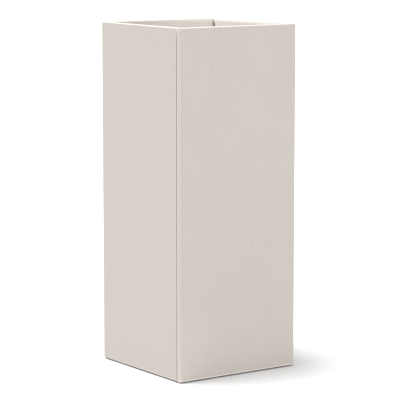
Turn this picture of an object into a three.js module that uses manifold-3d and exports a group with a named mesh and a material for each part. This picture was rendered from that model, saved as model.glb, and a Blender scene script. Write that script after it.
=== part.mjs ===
// Tall square fiberglass planter: two equal L-shaped half shells, lapped and bonded at two opposite
// corners, over a bolted base on rubber feet, with a lift-out planting shelf.
// Millimetres, +Z up. The origin is on the ground under the middle of the planter.
import * as THREE from "three";
import { mergeVertices } from "three/addons/utils/BufferGeometryUtils.js";
import Module from "manifold-3d";

const wasm = await Module();
wasm.setup();

// Outside
const WIDTH = 400; // along X
const DEPTH = 400; // along Y
const HEIGHT = 995; // ground to rim
const GROUND_GAP = 3; // daylight under the walls
const CORNER_RADIUS = 2.5; // upright arrises
const FOOT_EDGE_RADIUS = 1.8; // lower edge of the walls

// Laminate and rim
const WALL = 4;
const LIP = 3; // the rim's turned-down inner lip
const RIM_WIDTH = 16;
const LIP_DEPTH = 45;
const RIM_RADIUS = 2.5; // the rim's outer edge
const MOUTH_RADIUS = 2; // the rim's inner edge
const MOULD_RADIUS = 1; // small inside and cut edges
const COVE_RADIUS = 7; // inside of the unjointed corner
const LIP_CUTBACK = 20; // the lip's end is trimmed on a slant: nothing at the rim, this much at its foot

// Corner joint
const RETURN = 16; // the strip beside the arris that laps over the other half
const SEAM_GAP = 2; // the groove that shows
const SEAM_EASE = 0.8; // easing of the groove's two edges
const BOND_GAP = 1; // room for adhesive between lapped faces
const FLANGE_LEG = 30; // the set-back flange's leg along the other half's wall
const JOG_LENGTH = 5; // the flange slopes back to the wall over this length

// Base
const BASE_RECESS = 5; // base flange above the walls' lower edge
const BASE_FLANGE = 45; // from the outside face to the flange's inner edge
const BASE_FLANGE_THICK = 4;
const BASE_PLATE_THICK = 8;
const BASE_PLATE_CLEARANCE = 3; // to the joint flanges
const BASE_PLATE_RADIUS = 8;
const BASE_EDGE_EASE = 1;
const SEAL_WIDTH = 8;
const SEAL_INSET = 1.5; // inside the base plate's edge
const DRAIN_DIAMETER = 24;

// Feet and their bolts
const FOOT_DIAMETER = 36;
const FOOT_TAPER = 2; // smaller radius at the ground
const FOOT_WALL_GAP = 4;
const FOOT_EASE = 1;
const BOLT_DIAMETER = 6;
const BOLT_HOLE_CLEARANCE = 0.6; // on the diameter
const BOLT_HEAD_FLATS = 10;
const BOLT_HEAD_HEIGHT = 4;
const BOLT_HEAD_SETBACK = 0.8; // head above the ground
const BOLT_EXTRA = 2; // thread showing above the nut
const COUNTERBORE_CLEARANCE = 3; // on the diameter
const WASHER_DIAMETER = 18;
const WASHER_THICK = 1.6;
const NUT_FLATS = 10;
const NUT_HEIGHT = 5;

// Drain plug
const PLUG_HEAD_DIAMETER = 36;
const PLUG_HEAD_HEIGHT = 4;
const PLUG_CLEARANCE = 0.4; // on the radius
const PLUG_TAPER = 1.5; // on the radius
const PLUG_REACH = 3; // below the base plate
const PLUG_GRIP_DIAMETER = 12;
const PLUG_GRIP_HEIGHT = 12;
const PLUG_EASE = 1;

// Planting shelf
const PLANTING_DEPTH = 300; // rim to shelf
const SHELF_CLEARANCE = 3; // to the lip, all round
const SHELF_THICK = 4;
const SHELF_HEIGHT = 24;
const SHELF_CORNER_RADIUS = 10;
const SHELF_EASE = 1.5;
const SHELF_RIB_SPACING = 120;
const SHELF_RIB_HEIGHT = 16;
const SHELF_RIB_THICK = 4;
const SHELF_DRAIN_DIAMETER = 14;
const SHELF_DRAIN_SPACING = 210;
const FINGER_SLOT_LENGTH = 90;
const FINGER_SLOT_WIDTH = 28;
const FINGER_SLOT_INSET = 50; // shelf edge to the slot's middle

// Ledges under the shelf
const LEDGE_OVERLAP = 15; // ledge under the shelf
const LEDGE_LEG = 28; // height on the wall
const LEDGE_THICK = 3;
const LEDGE_RADIUS = 2;
const NOTCH_CLEARANCE = 1;

const SEAT_GAP = 0.3; // between pieces that rest on each other
const BOND_SKIN = 0.1; // between adhesive and laminate
const CUT_MARGIN = 10; // how far a cutting tool runs past what it cuts
const ARC_STEPS = 3; // half the facets of a rounded corner
const TURNED_ARC_STEPS = 2; // the same on small turned pieces
const ROUND_STEPS = 28; // facets of a full turn

// Heights that follow
const FLANGE_UNDERSIDE = GROUND_GAP + BASE_RECESS;
const FLANGE_TOP = FLANGE_UNDERSIDE + BASE_FLANGE_THICK;
const PLATE_UNDERSIDE = FLANGE_TOP + BOND_GAP;
const PLATE_TOP = PLATE_UNDERSIDE + BASE_PLATE_THICK;
const SHELF_TOP = HEIGHT - PLANTING_DEPTH;
const SHELF_FOOT = SHELF_TOP - SHELF_HEIGHT;
const LEDGE_TOP = SHELF_FOOT - SEAT_GAP;
// Depths in from the outside face that follow
const JOINT_FACE = WALL + BOND_GAP;
const JOINT_BACK = JOINT_FACE + WALL;
const SHOULDER = RETURN + SEAM_GAP;
const PLATE_INSET = JOINT_BACK + BASE_PLATE_CLEARANCE;
const FOOT_INSET = WALL + FOOT_WALL_GAP + FOOT_DIAMETER / 2;
const SHELF_INSET = RIM_WIDTH + SHELF_CLEARANCE;
const LEDGE_REACH = SHELF_INSET + LEDGE_OVERLAP;

const LAMINATE = { color: 0xd8d0c8, roughness: 0.8, metalness: 0 };
const RAW_LAMINATE = { color: 0xb9b5a8, roughness: 0.75, metalness: 0 };
const ADHESIVE = { color: 0x8f8a82, roughness: 0.7, metalness: 0 };
const RUBBER = { color: 0x232323, roughness: 0.9, metalness: 0 };
const STEEL = { color: 0xb8bbbf, roughness: 0.35, metalness: 1 };
const SHELF_PLASTIC = { color: 0x4a4c4d, roughness: 0.6, metalness: 0 };

// Closed outline through corners [x, y, radius], each corner rounded by an arc of its radius.
function roundedOutline(corners) {
  const shape = new THREE.Shape();
  corners.forEach(([x, y, radius = 0], i) => {
    const corner = new THREE.Vector2(x, y);
    const [px, py] = corners[(i + corners.length - 1) % corners.length];
    const [nx, ny] = corners[(i + 1) % corners.length];
    const back = new THREE.Vector2(px, py).sub(corner).normalize();
    const ahead = new THREE.Vector2(nx, ny).sub(corner).normalize();
    if (radius > 0) {
      const half = Math.acos(THREE.MathUtils.clamp(back.dot(ahead), -1, 1)) / 2;
      const start = corner.clone().addScaledVector(back, radius / Math.tan(half));
      const end = corner.clone().addScaledVector(ahead, radius / Math.tan(half));
      const middle = back.clone().add(ahead).normalize();
      const centre = corner.clone().addScaledVector(middle, radius / Math.sin(half));
      const from = start.clone().sub(centre).angle();
      const to = end.clone().sub(centre).angle();
      shape.absarc(centre.x, centre.y, radius, from, to, back.cross(ahead) > 0);
    } else if (i === 0) {
      shape.moveTo(x, y);
    } else {
      shape.lineTo(x, y);
    }
  });
  shape.closePath();
  return shape;
}

function roundedRectangle(width, depth, radius) {
  const x = width / 2;
  const y = depth / 2;
  return roundedOutline([
    [-x, -y, radius],
    [x, -y, radius],
    [x, y, radius],
    [-x, y, radius],
  ]);
}

// Upright prism of a plan outline between two heights.
function prism(outline, bottom, top) {
  const geometry = new THREE.ExtrudeGeometry(outline, {
    depth: top - bottom,
    bevelEnabled: false,
    curveSegments: ARC_STEPS,
  });
  return geometry.translate(0, 0, bottom);
}

// Upright slab with all its edges eased.
function easedSlab(width, depth, radius, bottom, top, ease) {
  const outline = roundedRectangle(width - 2 * ease, depth - 2 * ease, radius - ease);
  const geometry = new THREE.ExtrudeGeometry(outline, {
    depth: top - bottom - 2 * ease,
    bevelThickness: ease,
    bevelSize: ease,
    bevelSegments: ARC_STEPS,
    curveSegments: ARC_STEPS,
  });
  return geometry.translate(0, 0, bottom + ease);
}

function box(width, depth, height, x, y, bottom) {
  return new THREE.BoxGeometry(width, depth, height).translate(x, y, bottom + height / 2);
}

function cylinder(diameter, x, y, bottom, top, facets = ROUND_STEPS) {
  const geometry = new THREE.CylinderGeometry(diameter / 2, diameter / 2, top - bottom, facets);
  return geometry.rotateX(Math.PI / 2).translate(x, y, (bottom + top) / 2);
}

// Hexagonal prism across flats, on the Z axis.
function hexagon(flats, bottom, top) {
  const acrossCorners = flats / Math.cos(Math.PI / 6);
  return cylinder(acrossCorners, 0, 0, bottom, top, 6);
}

// Solid turned about the Z axis from a section of [radius, height, easing] corners.
function turned(corners) {
  const points = roundedOutline(corners).getPoints(TURNED_ARC_STEPS);
  if (!points[0].equals(points.at(-1))) points.push(points[0].clone());
  return new THREE.LatheGeometry(points, ROUND_STEPS).rotateX(Math.PI / 2);
}

function toSolid(geometry) {
  const bare = geometry.clone();
  bare.deleteAttribute("normal");
  bare.deleteAttribute("uv");
  const merged = mergeVertices(bare, 1e-4);
  return new wasm.Manifold(
    new wasm.Mesh({
      numProp: 3,
      vertProperties: merged.attributes.position.array,
      triVerts: new Uint32Array(merged.index.array),
    }),
  );
}

function toGeometry(solid) {
  const mesh = solid.getMesh();
  const geometry = new THREE.BufferGeometry();
  geometry.setAttribute("position", new THREE.BufferAttribute(mesh.vertProperties, 3));
  geometry.setIndex(new THREE.BufferAttribute(mesh.triVerts, 1));
  const faceted = geometry.toNonIndexed();
  faceted.computeVertexNormals();
  return faceted;
}

function join(...geometries) {
  return toGeometry(geometries.map(toSolid).reduce((all, next) => all.add(next)));
}

function cut(geometry, ...tools) {
  return toGeometry(tools.map(toSolid).reduce((left, tool) => left.subtract(tool), toSolid(geometry)));
}

function keep(geometry, region) {
  return toGeometry(toSolid(geometry).intersect(toSolid(region)));
}

// Section of [depth in from the outside face, height] swept round the plan, mitred at its four corners.
function mitredFrame(section) {
  const points = section.getPoints(ARC_STEPS);
  if (points[0].equals(points.at(-1))) points.pop();
  if (!THREE.ShapeUtils.isClockWise(points)) points.reverse();
  const corners = [
    [-1, -1],
    [1, -1],
    [1, 1],
    [-1, 1],
  ];
  const positions = corners.flatMap(([sx, sy]) =>
    points.flatMap(({ x: inset, y: height }) => [
      sx * (WIDTH / 2 - inset),
      sy * (DEPTH / 2 - inset),
      height,
    ]),
  );
  const count = points.length;
  const index = [];
  for (let side = 0; side < corners.length; side++) {
    const here = side * count;
    const there = ((side + 1) % corners.length) * count;
    for (let i = 0; i < count; i++) {
      const next = (i + 1) % count;
      index.push(here + i, there + i, there + next);
      index.push(here + i, there + next, here + next);
    }
  }
  const geometry = new THREE.BufferGeometry();
  geometry.setAttribute("position", new THREE.Float32BufferAttribute(positions, 3));
  geometry.setIndex(index);
  return geometry.toNonIndexed();
}

// Wall, rim, turned-down lip and base flange in one moulded section.
function shellSection() {
  const lipFoot = HEIGHT - LIP_DEPTH;
  const rimUnderside = HEIGHT - WALL;
  return roundedOutline([
    [0, GROUND_GAP, FOOT_EDGE_RADIUS],
    [0, HEIGHT, RIM_RADIUS],
    [RIM_WIDTH, HEIGHT, MOUTH_RADIUS],
    [RIM_WIDTH, lipFoot, MOULD_RADIUS],
    [RIM_WIDTH - LIP, lipFoot, MOULD_RADIUS],
    [RIM_WIDTH - LIP, rimUnderside, MOULD_RADIUS],
    [WALL, rimUnderside, MOULD_RADIUS],
    [WALL, FLANGE_TOP, MOULD_RADIUS],
    [BASE_FLANGE, FLANGE_TOP, MOULD_RADIUS],
    [BASE_FLANGE, FLANGE_UNDERSIDE, MOULD_RADIUS],
    [WALL, FLANGE_UNDERSIDE, MOULD_RADIUS],
    [WALL, GROUND_GAP, MOULD_RADIUS],
  ]);
}

// Plan region of the front half: the front wall with its return, and the right wall up to the groove.
function frontHalfRegion() {
  const x = WIDTH / 2;
  const y = DEPTH / 2;
  const returnEnd = -y + RETURN;
  const shoulder = y - SHOULDER;
  const flangeEdge = BASE_FLANGE + SEAM_GAP / 2;
  return roundedOutline([
    [-x - CUT_MARGIN, -y - CUT_MARGIN],
    [x + CUT_MARGIN, -y - CUT_MARGIN],
    [x + CUT_MARGIN, shoulder - SEAM_EASE],
    [x, shoulder - SEAM_EASE],
    [x, shoulder, SEAM_EASE],
    [x - flangeEdge, shoulder],
    [x - flangeEdge, -y + flangeEdge],
    [-x + flangeEdge + SEAM_GAP / 2, -y + flangeEdge],
    [-x + flangeEdge + SEAM_GAP / 2, returnEnd],
    [-x, returnEnd, SEAM_EASE],
    [-x, returnEnd - SEAM_EASE],
    [-x - CUT_MARGIN, returnEnd - SEAM_EASE],
  ]);
}

// Set-back flange at the rear right corner: it passes behind the other half's return and turns
// along its wall.
function jointFlange() {
  const at = (inset, back, radius = 0) => [WIDTH / 2 - inset, DEPTH / 2 - back, radius];
  const root = WALL / 2;
  const jogEnd = SHOULDER + JOG_LENGTH + BOND_GAP + WALL;
  const outline = roundedOutline([
    at(root, SHOULDER),
    at(JOINT_FACE, SHOULDER),
    at(JOINT_FACE, JOINT_FACE, WALL),
    at(JOINT_FACE + FLANGE_LEG, JOINT_FACE),
    at(JOINT_FACE + FLANGE_LEG, JOINT_BACK),
    at(JOINT_BACK, JOINT_BACK, MOULD_RADIUS),
    at(JOINT_BACK, SHOULDER + JOG_LENGTH),
    at(WALL, jogEnd),
    at(root, jogEnd),
  ]);
  return prism(outline, FLANGE_TOP + BOND_GAP, HEIGHT - WALL - BOND_GAP);
}

// Wedge that trims the lip's end on a slant beside the rear right joint, clear of the joint flange.
function lipRelief() {
  const end = DEPTH / 2 - SHOULDER;
  const lipFoot = HEIGHT - LIP_DEPTH;
  const rimUnderside = HEIGHT - WALL;
  const wedge = roundedOutline([
    [end + SEAM_GAP, rimUnderside],
    [end, rimUnderside],
    [end - LIP_CUTBACK, lipFoot],
    [end - LIP_CUTBACK, lipFoot - CUT_MARGIN],
    [end + SEAM_GAP, lipFoot - CUT_MARGIN],
  ]);
  const outer = WIDTH / 2 - (JOINT_BACK + RIM_WIDTH - LIP) / 2;
  const inner = WIDTH / 2 - RIM_WIDTH - CUT_MARGIN;
  const geometry = new THREE.ExtrudeGeometry(wedge, { depth: outer - inner, bevelEnabled: false });
  // The outline's first axis runs along +Y, its second along +Z, and the wedge's width along +X.
  const turn = new THREE.Matrix4().makeBasis(
    new THREE.Vector3(0, 1, 0),
    new THREE.Vector3(0, 0, 1),
    new THREE.Vector3(1, 0, 0),
  );
  return geometry.applyMatrix4(turn).translate(inner, 0, 0);
}

// Cove inside the unjointed front right corner.
function cornerCove() {
  const x = WIDTH / 2 - WALL;
  const y = -DEPTH / 2 + WALL;
  const root = WALL / 2;
  const outline = roundedOutline([
    [x + root, y - root],
    [x + root, y + COVE_RADIUS],
    [x, y + COVE_RADIUS],
    [x, y, COVE_RADIUS],
    [x - COVE_RADIUS, y],
    [x - COVE_RADIUS, y - root],
  ]);
  return prism(outline, FLANGE_TOP - BASE_FLANGE_THICK / 2, HEIGHT - WALL / 2);
}

// The four foot positions as [x, y, name].
const FOOT_PLACES = [
  [-1, -1, "front_left"],
  [1, -1, "front_right"],
  [1, 1, "rear_right"],
  [-1, 1, "rear_left"],
].map(([sx, sy, name]) => [sx * (WIDTH / 2 - FOOT_INSET), sy * (DEPTH / 2 - FOOT_INSET), name]);

function boltHoles(bottom, top) {
  const diameter = BOLT_DIAMETER + BOLT_HOLE_CLEARANCE;
  return FOOT_PLACES.map(([x, y]) => cylinder(diameter, x, y, bottom - CUT_MARGIN, top + CUT_MARGIN));
}

// The front half; the rear half is the same moulding turned half round.
function halfShell() {
  const plan = roundedRectangle(WIDTH, DEPTH, CORNER_RADIUS);
  const ring = keep(mitredFrame(shellSection()), prism(plan, 0, HEIGHT + CUT_MARGIN));
  const half = keep(ring, prism(frontHalfRegion(), 0, HEIGHT + CUT_MARGIN));
  return cut(
    join(half, jointFlange(), cornerCove()),
    lipRelief(),
    ...boltHoles(FLANGE_UNDERSIDE, FLANGE_TOP),
  );
}

// Adhesive between the joint flange and the other half's return and wall, at the rear right corner.
function jointBond() {
  const at = (inset, back) => [WIDTH / 2 - inset, DEPTH / 2 - back];
  const outer = WALL + BOND_SKIN;
  const inner = JOINT_FACE - BOND_SKIN;
  const outline = roundedOutline([
    at(outer, outer),
    at(JOINT_FACE + FLANGE_LEG, outer),
    at(JOINT_FACE + FLANGE_LEG, inner),
    at(inner, inner),
    at(inner, RETURN),
    at(outer, RETURN),
  ]);
  const bottom = FLANGE_TOP + BOND_GAP + SEAT_GAP;
  return prism(outline, bottom, HEIGHT - WALL - BOND_GAP - SEAT_GAP);
}

function basePlate() {
  const slab = easedSlab(
    WIDTH - 2 * PLATE_INSET,
    DEPTH - 2 * PLATE_INSET,
    BASE_PLATE_RADIUS,
    PLATE_UNDERSIDE,
    PLATE_TOP,
    BASE_EDGE_EASE,
  );
  const drain = cylinder(DRAIN_DIAMETER, 0, 0, PLATE_UNDERSIDE - CUT_MARGIN, PLATE_TOP + CUT_MARGIN);
  return cut(slab, drain, ...boltHoles(PLATE_UNDERSIDE, PLATE_TOP));
}

function baseSeal() {
  const outset = 2 * (PLATE_INSET + SEAL_INSET);
  const radius = BASE_PLATE_RADIUS - SEAL_INSET;
  const ring = roundedRectangle(WIDTH - outset, DEPTH - outset, radius);
  const inner = outset + 2 * SEAL_WIDTH;
  ring.holes.push(roundedRectangle(WIDTH - inner, DEPTH - inner, MOULD_RADIUS));
  return prism(ring, FLANGE_TOP + BOND_SKIN, PLATE_UNDERSIDE - BOND_SKIN);
}

// Rubber foot with a counterbore for the bolt head, standing on the ground.
function foot() {
  const bore = (BOLT_DIAMETER + BOLT_HOLE_CLEARANCE) / 2;
  const headCorner = BOLT_HEAD_FLATS / Math.cos(Math.PI / 6);
  const counterbore = (headCorner + COUNTERBORE_CLEARANCE) / 2;
  const shelf = BOLT_HEAD_SETBACK + BOLT_HEAD_HEIGHT + SEAT_GAP;
  return turned([
    [bore, shelf],
    [counterbore, shelf],
    [counterbore, 0],
    [FOOT_DIAMETER / 2 - FOOT_TAPER, 0, FOOT_EASE],
    [FOOT_DIAMETER / 2, FLANGE_UNDERSIDE - SEAT_GAP, FOOT_EASE],
    [bore, FLANGE_UNDERSIDE - SEAT_GAP],
  ]);
}

function footBolt() {
  const headTop = BOLT_HEAD_SETBACK + BOLT_HEAD_HEIGHT;
  const tip = PLATE_TOP + 2 * SEAT_GAP + WASHER_THICK + NUT_HEIGHT + BOLT_EXTRA;
  return join(
    hexagon(BOLT_HEAD_FLATS, BOLT_HEAD_SETBACK, headTop),
    cylinder(BOLT_DIAMETER, 0, 0, headTop - BOLT_HEAD_HEIGHT / 2, tip),
  );
}

function footWasher() {
  const bottom = PLATE_TOP + SEAT_GAP;
  const top = bottom + WASHER_THICK;
  const bore = BOLT_DIAMETER + BOLT_HOLE_CLEARANCE;
  const hole = cylinder(bore, 0, 0, bottom - CUT_MARGIN, top + CUT_MARGIN);
  return cut(cylinder(WASHER_DIAMETER, 0, 0, bottom, top), hole);
}

function footNut() {
  const bottom = PLATE_TOP + 2 * SEAT_GAP + WASHER_THICK;
  const top = bottom + NUT_HEIGHT;
  const bore = BOLT_DIAMETER + BOLT_HOLE_CLEARANCE;
  const hole = cylinder(bore, 0, 0, bottom - CUT_MARGIN, top + CUT_MARGIN);
  return cut(hexagon(NUT_FLATS, bottom, top), hole);
}

// Rubber bung with a waisted pull, seated on the base plate.
function drainPlug() {
  const seat = PLATE_TOP + SEAT_GAP;
  const stem = DRAIN_DIAMETER / 2 - PLUG_CLEARANCE;
  const grip = PLUG_GRIP_DIAMETER / 2;
  const headTop = seat + PLUG_HEAD_HEIGHT;
  return turned([
    [0, PLATE_UNDERSIDE - PLUG_REACH],
    [stem - PLUG_TAPER, PLATE_UNDERSIDE - PLUG_REACH, PLUG_EASE],
    [stem, seat],
    [PLUG_HEAD_DIAMETER / 2, seat],
    [PLUG_HEAD_DIAMETER / 2, headTop, PLUG_EASE],
    [grip - PLUG_EASE, headTop, PLUG_EASE],
    [grip, headTop + PLUG_GRIP_HEIGHT, 2 * PLUG_EASE],
    [0, headTop + PLUG_GRIP_HEIGHT],
  ]);
}

// Angle section against the front wall, from end to end along X.
function ledgeBar(length) {
  const section = roundedOutline([
    [0, 0],
    [LEDGE_THICK, 0, MOULD_RADIUS],
    [LEDGE_THICK, LEDGE_LEG - LEDGE_THICK, LEDGE_RADIUS],
    [LEDGE_REACH - WALL - SEAT_GAP, LEDGE_LEG - LEDGE_THICK, MOULD_RADIUS],
    [LEDGE_REACH - WALL - SEAT_GAP, LEDGE_LEG, MOULD_RADIUS],
    [0, LEDGE_LEG],
  ]);
  const geometry = new THREE.ExtrudeGeometry(section, {
    depth: length,
    bevelEnabled: false,
    curveSegments: ARC_STEPS,
  });
  // The section's depth runs along +Y and its height along +Z; the bar runs along +X.
  const turn = new THREE.Matrix4().makeBasis(
    new THREE.Vector3(0, 1, 0),
    new THREE.Vector3(0, 0, 1),
    new THREE.Vector3(1, 0, 0),
  );
  geometry.applyMatrix4(turn);
  return geometry.translate(-length / 2, 0, LEDGE_TOP - LEDGE_LEG);
}

// Along the front wall, notched round the rear half's joint flange at the front left corner.
function frontLedge() {
  const endInset = WALL + COVE_RADIUS + NOTCH_CLEARANCE;
  const bar = ledgeBar(WIDTH - 2 * endInset).translate(0, -DEPTH / 2 + WALL + SEAT_GAP, 0);
  const reach = JOINT_FACE + FLANGE_LEG + NOTCH_CLEARANCE + CUT_MARGIN;
  const depth = JOINT_BACK + NOTCH_CLEARANCE + CUT_MARGIN;
  const x = -WIDTH / 2 - CUT_MARGIN + reach / 2;
  const y = -DEPTH / 2 - CUT_MARGIN + depth / 2;
  const bottom = LEDGE_TOP - LEDGE_LEG - CUT_MARGIN;
  const notch = box(reach, depth, LEDGE_LEG + 2 * CUT_MARGIN, x, y, bottom);
  return cut(bar, notch);
}

// Along the right wall, between the front and rear ledges.
function rightLedge() {
  const endInset = LEDGE_REACH + SEAT_GAP;
  const bar = ledgeBar(DEPTH - 2 * endInset).rotateZ(Math.PI / 2);
  return bar.translate(WIDTH / 2 - WALL - SEAT_GAP, 0, 0);
}

function shelfRibs() {
  const width = WIDTH - 2 * (SHELF_INSET + SHELF_THICK / 2);
  const depth = DEPTH - 2 * (SHELF_INSET + SHELF_THICK / 2);
  const top = SHELF_TOP - SHELF_THICK / 2;
  const height = SHELF_RIB_HEIGHT + SHELF_THICK / 2;
  return [-1, 1].flatMap((side) => {
    const offset = (side * SHELF_RIB_SPACING) / 2;
    return [
      box(width, SHELF_RIB_THICK, height, 0, offset, top - height),
      box(SHELF_RIB_THICK, depth, height, offset, 0, top - height),
    ];
  });
}

function fingerSlot(side) {
  const x = side * (WIDTH / 2 - SHELF_INSET - FINGER_SLOT_INSET);
  const outline = roundedRectangle(FINGER_SLOT_WIDTH, FINGER_SLOT_LENGTH, FINGER_SLOT_WIDTH / 2.01);
  return prism(outline, SHELF_FOOT - CUT_MARGIN, SHELF_TOP + CUT_MARGIN).translate(x, 0, 0);
}

function shelfDrains() {
  const reach = SHELF_DRAIN_SPACING / 2;
  const places = [
    [0, 0],
    [-reach, -reach],
    [reach, -reach],
    [reach, reach],
    [-reach, reach],
  ];
  const bottom = SHELF_FOOT - CUT_MARGIN;
  const top = SHELF_TOP + CUT_MARGIN;
  return places.map(([x, y]) => cylinder(SHELF_DRAIN_DIAMETER, x, y, bottom, top));
}

// Downturned tray with cross ribs below, drain holes, and two slots to lift it by.
function plantingShelf() {
  const width = WIDTH - 2 * SHELF_INSET;
  const depth = DEPTH - 2 * SHELF_INSET;
  const slab = easedSlab(width, depth, SHELF_CORNER_RADIUS, SHELF_FOOT, SHELF_TOP, SHELF_EASE);
  const hollowPlan = roundedRectangle(
    width - 2 * SHELF_THICK,
    depth - 2 * SHELF_THICK,
    SHELF_CORNER_RADIUS - SHELF_THICK,
  );
  const hollow = prism(hollowPlan, SHELF_FOOT - CUT_MARGIN, SHELF_TOP - SHELF_THICK);
  const ribbed = join(cut(slab, hollow), ...shelfRibs());
  return cut(ribbed, fingerSlot(-1), fingerSlot(1), ...shelfDrains());
}

function piece(name, geometry, finish) {
  const mesh = new THREE.Mesh(geometry, new THREE.MeshStandardMaterial(finish));
  mesh.name = name;
  return mesh;
}

// The same piece, turned half round about the planter's middle.
function opposite(name, geometry, finish) {
  const mesh = piece(name, geometry, finish);
  mesh.rotation.z = Math.PI;
  return mesh;
}

function body() {
  const group = new THREE.Group();
  const half = halfShell();
  const bond = jointBond();
  const front = frontLedge();
  const right = rightLedge();
  group.add(
    piece("front_shell", half, LAMINATE),
    opposite("rear_shell", half, LAMINATE),
    piece("bond_rear_right", bond, ADHESIVE),
    opposite("bond_front_left", bond, ADHESIVE),
    piece("base_plate", basePlate(), RAW_LAMINATE),
    piece("base_seal", baseSeal(), ADHESIVE),
    piece("ledge_front", front, RAW_LAMINATE),
    opposite("ledge_rear", front, RAW_LAMINATE),
    piece("ledge_right", right, RAW_LAMINATE),
    opposite("ledge_left", right, RAW_LAMINATE),
  );
  return group;
}

function feet() {
  const group = new THREE.Group();
  for (const [x, y, place] of FOOT_PLACES) {
    const set = new THREE.Group();
    set.position.set(x, y, 0);
    set.add(
      piece(`foot_${place}`, foot(), RUBBER),
      piece(`foot_bolt_${place}`, footBolt(), STEEL),
      piece(`foot_washer_${place}`, footWasher(), STEEL),
      piece(`foot_nut_${place}`, footNut(), STEEL),
    );
    group.add(set);
  }
  return group;
}

const planter = new THREE.Group();
planter.add(body(), feet());
planter.add(piece("planting_shelf", plantingShelf(), SHELF_PLASTIC));
planter.add(piece("drain_plug", drainPlug(), RUBBER));

export default planter;
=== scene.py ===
"""Looks of the tall fiberglass planter: camera, light, materials and detailed small parts.

Metres, +Z up, the origin on the ground under the middle of the planter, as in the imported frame.
"""

import math

import bmesh
import bpy
from mathutils import Matrix, Vector, noise


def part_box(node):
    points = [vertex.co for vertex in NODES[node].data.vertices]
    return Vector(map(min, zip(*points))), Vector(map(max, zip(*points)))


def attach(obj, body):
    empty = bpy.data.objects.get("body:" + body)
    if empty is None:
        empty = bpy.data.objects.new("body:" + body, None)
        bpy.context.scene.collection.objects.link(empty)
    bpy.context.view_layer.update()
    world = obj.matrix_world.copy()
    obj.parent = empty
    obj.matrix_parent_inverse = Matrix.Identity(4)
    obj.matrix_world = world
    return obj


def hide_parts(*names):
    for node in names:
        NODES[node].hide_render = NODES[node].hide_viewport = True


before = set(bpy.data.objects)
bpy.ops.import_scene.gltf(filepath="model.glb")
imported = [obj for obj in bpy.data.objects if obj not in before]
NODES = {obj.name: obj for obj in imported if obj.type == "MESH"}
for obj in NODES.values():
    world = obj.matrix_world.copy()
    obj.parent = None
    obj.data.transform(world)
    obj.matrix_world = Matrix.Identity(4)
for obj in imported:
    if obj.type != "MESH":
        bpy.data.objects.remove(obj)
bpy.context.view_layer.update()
MM = 0.001

# Places taken from the frame
SHELL_LOW, SHELL_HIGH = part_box("front_shell")
HALF_WIDTH = SHELL_HIGH.x
HEIGHT = SHELL_HIGH.z
WALL_FOOT = SHELL_LOW.z
PLATE_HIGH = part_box("base_plate")[1]
CORNER_NAMES = ("front_left", "front_right", "rear_right", "rear_left")
SIDE_NAMES = ("front", "right", "rear", "left")

# Sizes shared with the solids
WALL = 4 * MM
RIM_WIDTH = 16 * MM
LIP = 3 * MM
LIP_FOOT = HEIGHT - 45 * MM  # the turned-down lip's lower edge
JOINT_FACE = 5 * MM  # joint flange, in from the outside face
GROOVE_NEAR = 16 * MM  # the corner groove's two sides, from the arris
GROOVE_FAR = 18 * MM
FLANGE_LEG = 30 * MM
FLANGE_TOP = 12 * MM  # the base flange's
PLATE_RADIUS = 8 * MM
SEAT_GAP = 0.3 * MM  # between pieces that rest on each other
BOLT_RADIUS = 3 * MM
BOLT_CLEARANCE = 0.3 * MM  # on the radius
BOLT_HEAD_HEIGHT = 4 * MM
BOLT_HEAD_SETBACK = 0.8 * MM  # head above the ground
HEX_FLATS = 10 * MM
FOOT_TAPER = 2 * MM
COUNTERBORE_CLEARANCE = 1.5 * MM  # on the radius, past the head's corners
DRAIN_RADIUS = 12 * MM
PLUG_CLEARANCE = 0.4 * MM  # on the radius
PLUG_TAPER = 1.5 * MM
PLUG_HEAD_HEIGHT = 4 * MM
PLUG_GRIP_RADIUS = 6 * MM

# Details of the small parts
THREAD_PITCH = 1 * MM
THREAD_DEPTH = 0.61 * THREAD_PITCH
THREAD_STEPS = 8  # rings to one pitch
NUT_CLEARANCE = 0.12 * MM  # on the radius
COUNTERSINK = 0.5 * MM
CHAMFER_ANGLE = math.radians(30)
CHAMFER_LAND = 0.95  # flat end of a hexagon, as a share of its flats
HEAD_DISH = 0.4 * MM
WASHER_EASE = 0.35 * MM
SOLE_GROOVES = 2
SOLE_GROOVE_STEP = 2.9 * MM
FLANK_GROOVES = 3
FLANK_GROOVE_STEP = 1.5 * MM
PLUG_RIBS = 3
RIB_STEP = 2.9 * MM
RIB_DEPTH = 0.9 * MM
ROUND_STEPS = 96  # facets of a full turn
WASHER_STEPS = 72

# Camera, fitted to the planter's edges in the photograph
PHOTO_PIXELS = 400
FOCAL_PIXELS = 1983.6
SENSOR = 36.0  # millimetres
CAMERA_PLACE = Vector((-3.2680, -4.6745, 1.3021))
CAMERA_YAW = math.radians(35.016)
CAMERA_PITCH = math.radians(8.196)

# Light
SKY_STRENGTH = 0.865
KEY_STRENGTH = 3.4
KEY_DIRECTION = Vector((0.16, -0.16, -1.0))
KEY_ANGLE = math.radians(22)
FILL_STRENGTH = 1.27
FILL_DIRECTION = Vector((0.52, 0.78, -0.34))
FILL_ANGLE = math.radians(35)
FLOOR_SIZE = 240.0  # metres
FLOOR_TONE = 0.68

# Finishes, linear RGB
GELCOAT = (0.441, 0.4064, 0.3710)
# painted light: the gelcoat made lighter, for the mouth and for the painted highlights
INNER_COAT_PAINTED_LIGHT = (0.811, 0.758, 0.700)
MOUTH_PAINTED_LIGHT = (0.88, 0.83, 0.775)
# painted shade, for the corner grooves and the walls' foot
PAINTED_SHADE_TONE = (0.10, 0.090, 0.080)
RAW_RESIN = (0.50, 0.47, 0.38)
STRANDS = (0.66, 0.64, 0.56)
PUTTY = (0.36, 0.335, 0.30)
RUBBER_TONE = (0.018, 0.018, 0.018)
ZINC = (0.62, 0.63, 0.64)
YELLOWED_ZINC = (0.68, 0.66, 0.58)
SHELF_TONE = (0.062, 0.066, 0.068)
SCUFF_TONE = (0.16, 0.165, 0.165)
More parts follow.
